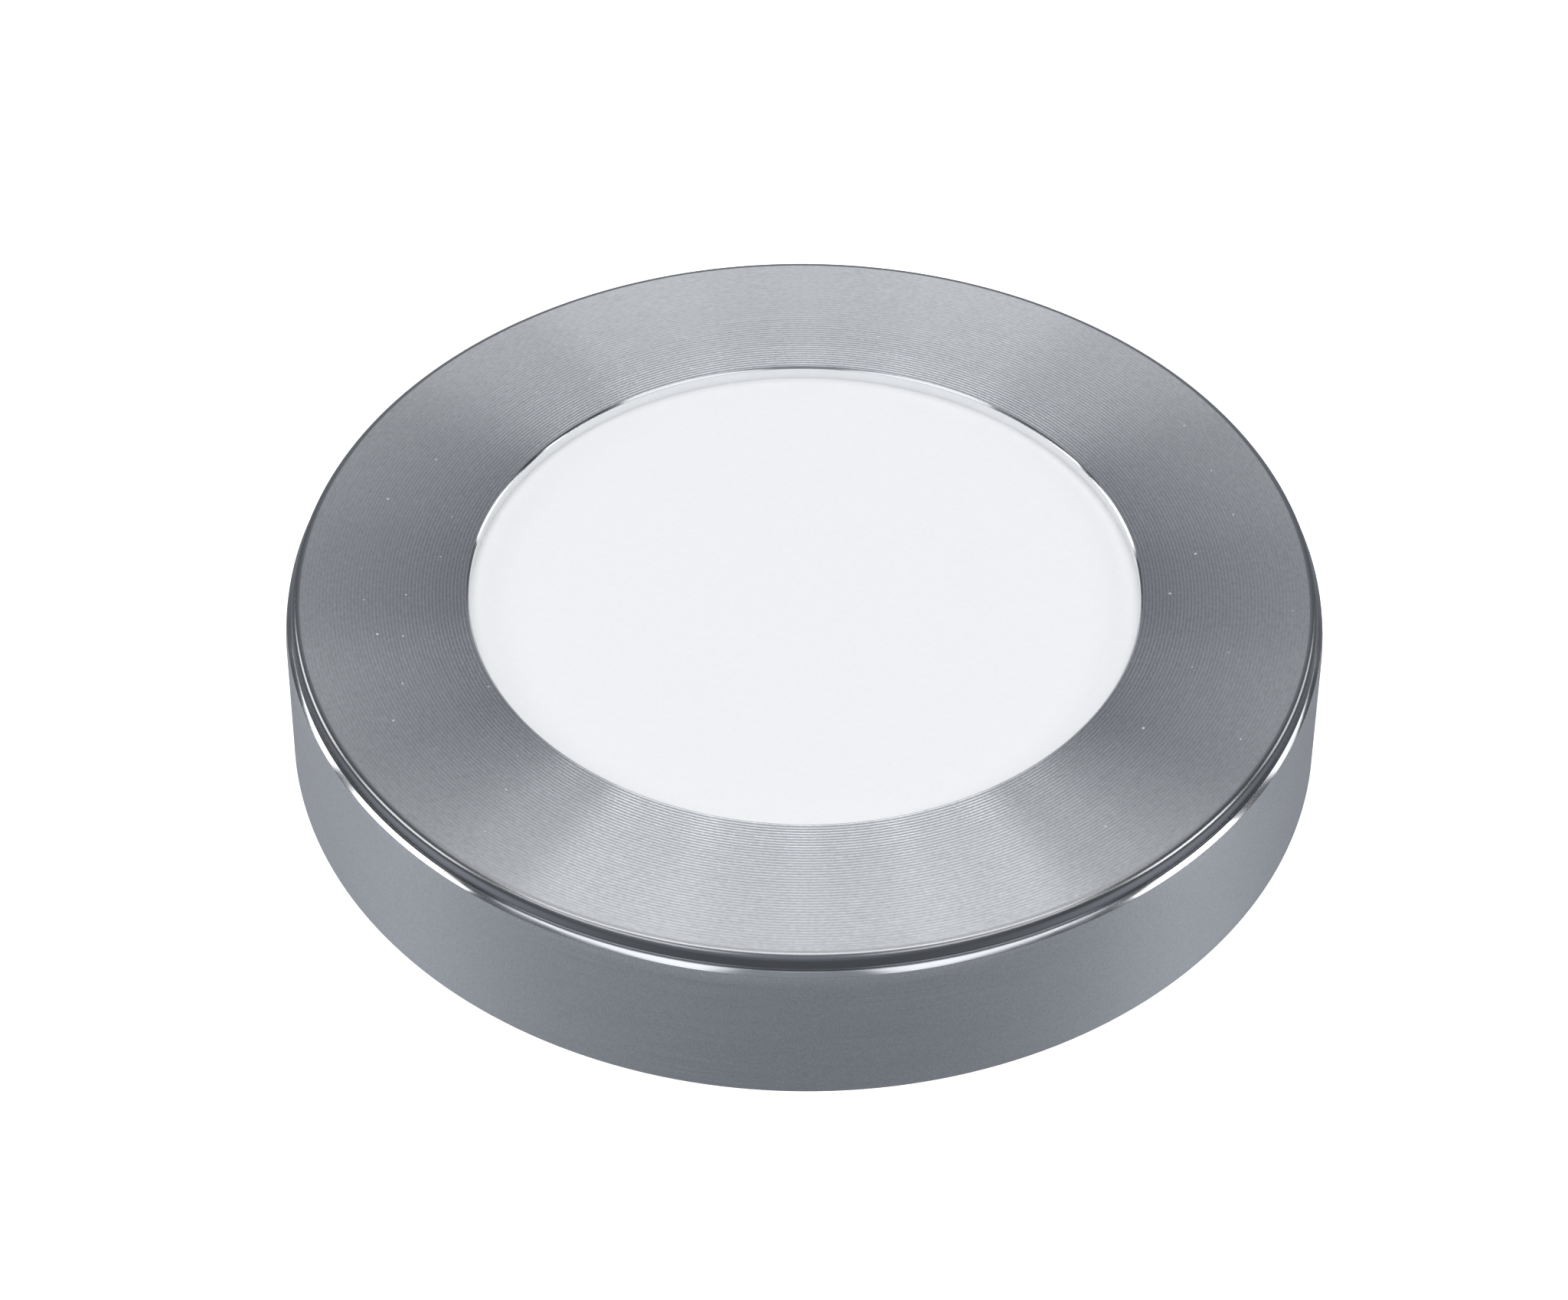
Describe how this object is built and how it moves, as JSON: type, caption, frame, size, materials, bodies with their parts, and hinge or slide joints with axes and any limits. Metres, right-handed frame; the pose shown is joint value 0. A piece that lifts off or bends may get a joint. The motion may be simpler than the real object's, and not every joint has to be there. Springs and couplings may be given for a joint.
{
  "type": "led puck light",
  "caption": "Round low-profile cabinet light: brushed aluminium bezel around an opal lens, held by leaf springs in a screw-down surface ring with a lead notch at the back.",
  "frame": {"origin": "centre of the flat back face that lies against the shelf or cabinet", "axes": "+Z out of the light-emitting face, +Y towards the notch where the leads leave"},
  "size_m": [0.07, 0.07, 0.012],
  "materials": {
    "ring_metal": "satin, finely brushed around, with a polished top edge",
    "bezel_metal": "turned face with fine concentric grooves and polished edges",
    "opal": "opal acrylic with a fine matt grain",
    "clear_plastic": "clear acrylic, polished edge",
    "white_film": "white reflective film",
    "foam": "closed-cell foam",
    "strip_white": "white solder mask on a flexible circuit",
    "diode": "white package with yellow phosphor",
    "cover_metal": "cast and lightly turned, matt",
    "tape": "thermal tape",
    "board_green": "green solder mask on glass-fibre board",
    "package_black": "black moulding compound",
    "ferrite": "dark grey ferrite",
    "capacitor_tan": "tan ceramic with tinned ends",
    "socket_white": "natural white nylon",
    "pin_metal": "tinned brass",
    "lead_red": "red insulation",
    "lead_black": "black insulation",
    "screw_steel": "zinc-plated steel",
    "spring_steel": "stainless spring strip"
  },
  "bodies": {
    "ring": {"surface_ring": "ring_metal"},
    "light_unit": {"bezel_ring": "bezel_metal", "diffuser_lens": "opal", "light_guide": "clear_plastic", "reflector_film": "white_film", "foam_pad": "foam", "led_strip": "strip_white", "leds": "diode", "rear_cover": "cover_metal", "board_pad": "tape", "driver_board": "board_green", "driver_chip": "package_black", "bridge_rectifier": "package_black", "inductor": "ferrite", "capacitors": "capacitor_tan", "resistors": "package_black", "inlet_socket": "socket_white", "inlet_pins": "pin_metal", "lead_positive": "lead_red", "lead_negative": "lead_black", "clip_screws": "screw_steel", "spring_clip_1": "spring_steel", "spring_clip_2": "spring_steel", "spring_clip_3": "spring_steel"}
  },
  "joints": [
    {"name": "light_unit_pull", "type": "slide", "parent": "ring", "child": "light_unit", "axis": [0, 0, 1], "range_m": [0, 0.012]}
  ]
}
